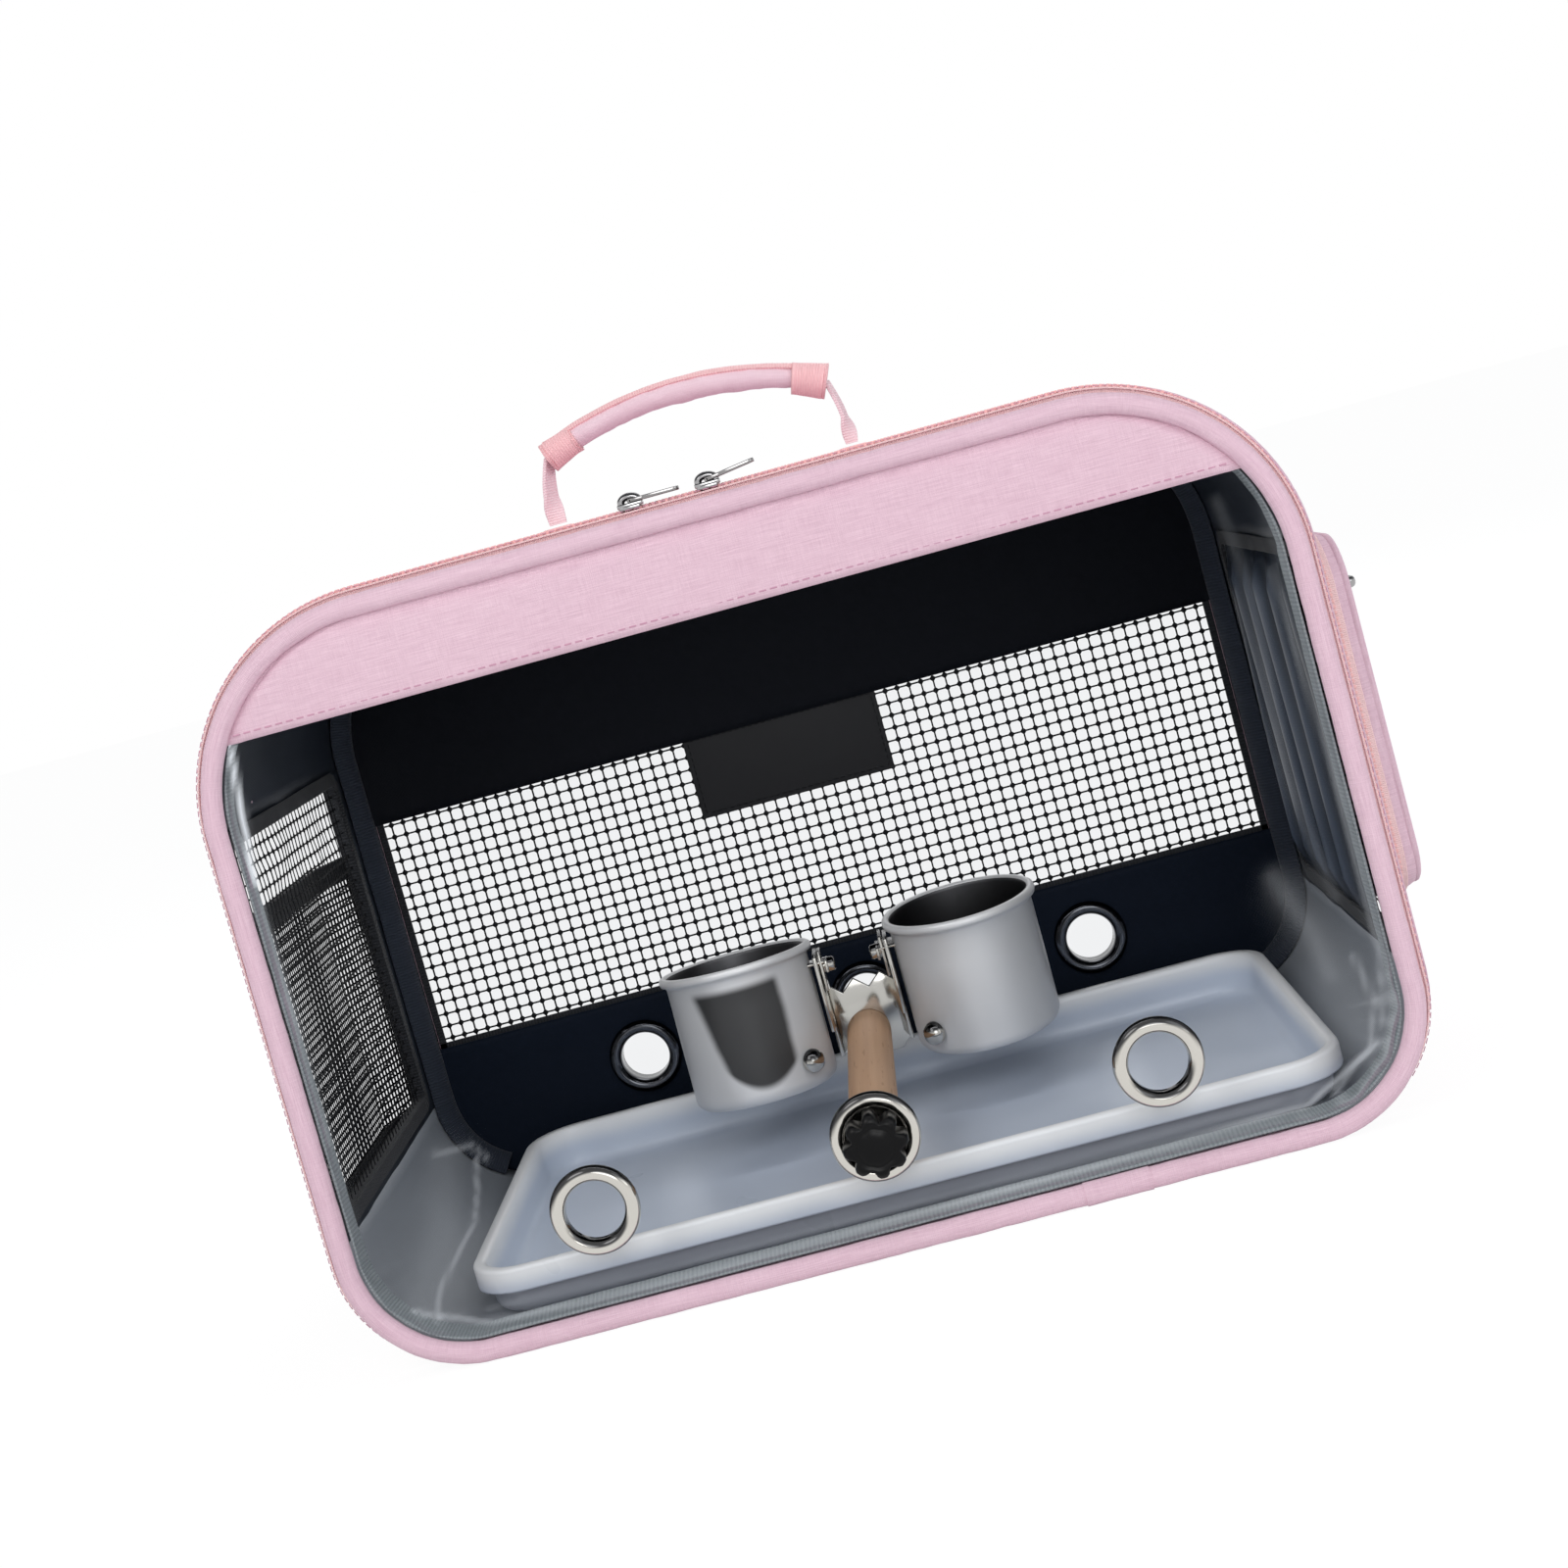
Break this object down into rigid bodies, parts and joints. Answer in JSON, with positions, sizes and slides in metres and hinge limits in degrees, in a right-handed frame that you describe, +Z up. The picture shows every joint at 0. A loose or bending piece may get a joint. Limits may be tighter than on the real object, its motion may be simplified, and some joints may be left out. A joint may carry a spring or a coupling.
{
  "type": "soft-sided bird travel carrier",
  "caption": "Soft-sided bird travel carrier: zipped clear front, mesh windows, wooden perch with hook-on steel cups, tray, side pockets and padded handle.",
  "frame": {"origin": "centre of the base, on the surface the carrier stands on", "axes": "+X to the viewer's right, -Y out of the clear front, +Z up"},
  "size_m": [0.4431, 0.2408, 0.3265],
  "materials": {
    "linen": "woven melange linen look, matt",
    "grip_linen": "padded woven fabric, matt",
    "webbing": "ribbed webbing, matt",
    "zip_tape": "knitted tape with a nylon coil",
    "lining_black": "smooth coated cloth",
    "lining_grey": "glossy waterproof film",
    "binding": "ribbed binding tape",
    "mesh": "open square mesh",
    "black_trim": "elastic tape",
    "patch": "bare soft patch, satin",
    "window_film": "clear soft film",
    "chrome_trim": "nickel plated",
    "cup_steel": "polished stainless steel",
    "beech": "plain sanded beech",
    "knob_black": "moulded, satin",
    "tray_plastic": "frosted translucent"
  },
  "bodies": {
    "case": {"top_panel": "linen", "bottom_panel": "linen", "left_panel": "linen", "right_panel": "linen", "floor_lining": "lining_grey", "wall_lining": "lining_black", "back_panel_lower": "linen", "back_panel_upper": "linen", "back_lining_lower": "lining_black", "back_lining_upper": "lining_black", "back_piping": "linen", "back_mesh": "mesh", "left_mesh": "mesh", "right_mesh": "mesh", "rear_patch": "patch", "rear_eyelet_left": "chrome_trim", "rear_eyelet_centre": "chrome_trim", "rear_eyelet_right": "chrome_trim", "body_zip_tape": "zip_tape", "body_zip_teeth": "zip_tape", "hinge_strip": "linen", "tray": "tray_plastic", "net_pocket_net": "mesh", "net_pocket_hem": "black_trim", "net_pocket_base": "black_trim", "net_pocket_side_front": "black_trim", "net_pocket_side_rear": "black_trim", "zip_pocket": "linen", "pocket_zip_tape": "zip_tape", "handle_tab_left": "webbing", "handle_tab_right": "webbing"},
    "front_panel": {"front_piping": "linen", "front_window": "window_film", "front_band": "linen", "front_binding": "binding", "front_zip_tape": "zip_tape", "front_zip_teeth": "zip_tape", "front_eyelet_left": "chrome_trim", "front_eyelet_centre": "chrome_trim", "front_eyelet_right": "chrome_trim", "perch_washer": "cup_steel", "perch_bolt": "cup_steel", "perch_dowel": "beech", "cup_bracket": "cup_steel", "bracket_screw": "cup_steel"},
    "knob": {"star_knob": "knob_black"},
    "cup_left_set": {"cup_left": "cup_steel", "cup_hanger_left": "cup_steel"},
    "cup_right_set": {"cup_right": "cup_steel", "cup_hanger_right": "cup_steel"},
    "zip_slider_left": {"slider_left": "chrome_trim"},
    "zip_pull_left": {"pull_left": "chrome_trim"},
    "zip_slider_right": {"slider_right": "chrome_trim"},
    "zip_pull_right": {"pull_right": "chrome_trim"},
    "pocket_zip_slider": {"pocket_slider": "chrome_trim"},
    "pocket_zip_pull": {"pocket_pull": "chrome_trim"},
    "handle": {"handle_grip": "grip_linen", "handle_webbing": "webbing", "handle_wraps": "webbing", "handle_legs": "webbing"}
  },
  "joints": [
    {"name": "front_hinge", "type": "hinge", "parent": "case", "child": "front_panel", "pos_m": [0, -0.1105, 0.004], "axis": [1, 0, 0], "range_deg": [0, 52]},
    {"name": "knob_turn", "type": "hinge", "parent": "front_panel", "child": "knob", "pos_m": [0, -0.12, 0.0435], "axis": [0, -1, 0], "continuous": true},
    {"name": "cup_left_lift", "type": "slide", "parent": "front_panel", "child": "cup_left_set", "axis": [0, 0, 1], "range_m": [0, 0.06]},
    {"name": "cup_right_lift", "type": "slide", "parent": "front_panel", "child": "cup_right_set", "axis": [0, 0, 1], "range_m": [0, 0.06]},
    {"name": "slider_left_run", "type": "slide", "parent": "case", "child": "zip_slider_left", "axis": [-1, 0, 0], "range_m": [0, 0.095]},
    {"name": "pull_left_flip", "type": "hinge", "parent": "zip_slider_left", "child": "zip_pull_left", "pos_m": [-0.024, -0.10224, 0.2821], "axis": [0, -1, 0], "range_deg": [0, 170]},
    {"name": "slider_right_run", "type": "slide", "parent": "case", "child": "zip_slider_right", "axis": [1, 0, 0], "range_m": [0, 0.11]},
    {"name": "pull_right_flip", "type": "hinge", "parent": "zip_slider_right", "child": "zip_pull_right", "pos_m": [0.004, -0.10224, 0.2821], "axis": [0, -1, 0], "range_deg": [0, 162]},
    {"name": "pocket_slider_run", "type": "slide", "parent": "case", "child": "pocket_zip_slider", "axis": [0, 1, 0], "range_m": [0, 0.075]},
    {"name": "pocket_pull_flip", "type": "hinge", "parent": "pocket_zip_slider", "child": "pocket_zip_pull", "pos_m": [0.2263, -0.021, 0.18], "axis": [0, 0, -1], "range_deg": [0, 170]},
    {"name": "handle_swing", "type": "hinge", "parent": "case", "child": "handle", "pos_m": [0, 0, 0.2819], "axis": [1, 0, 0], "range_deg": [-74, 74]}
  ]
}
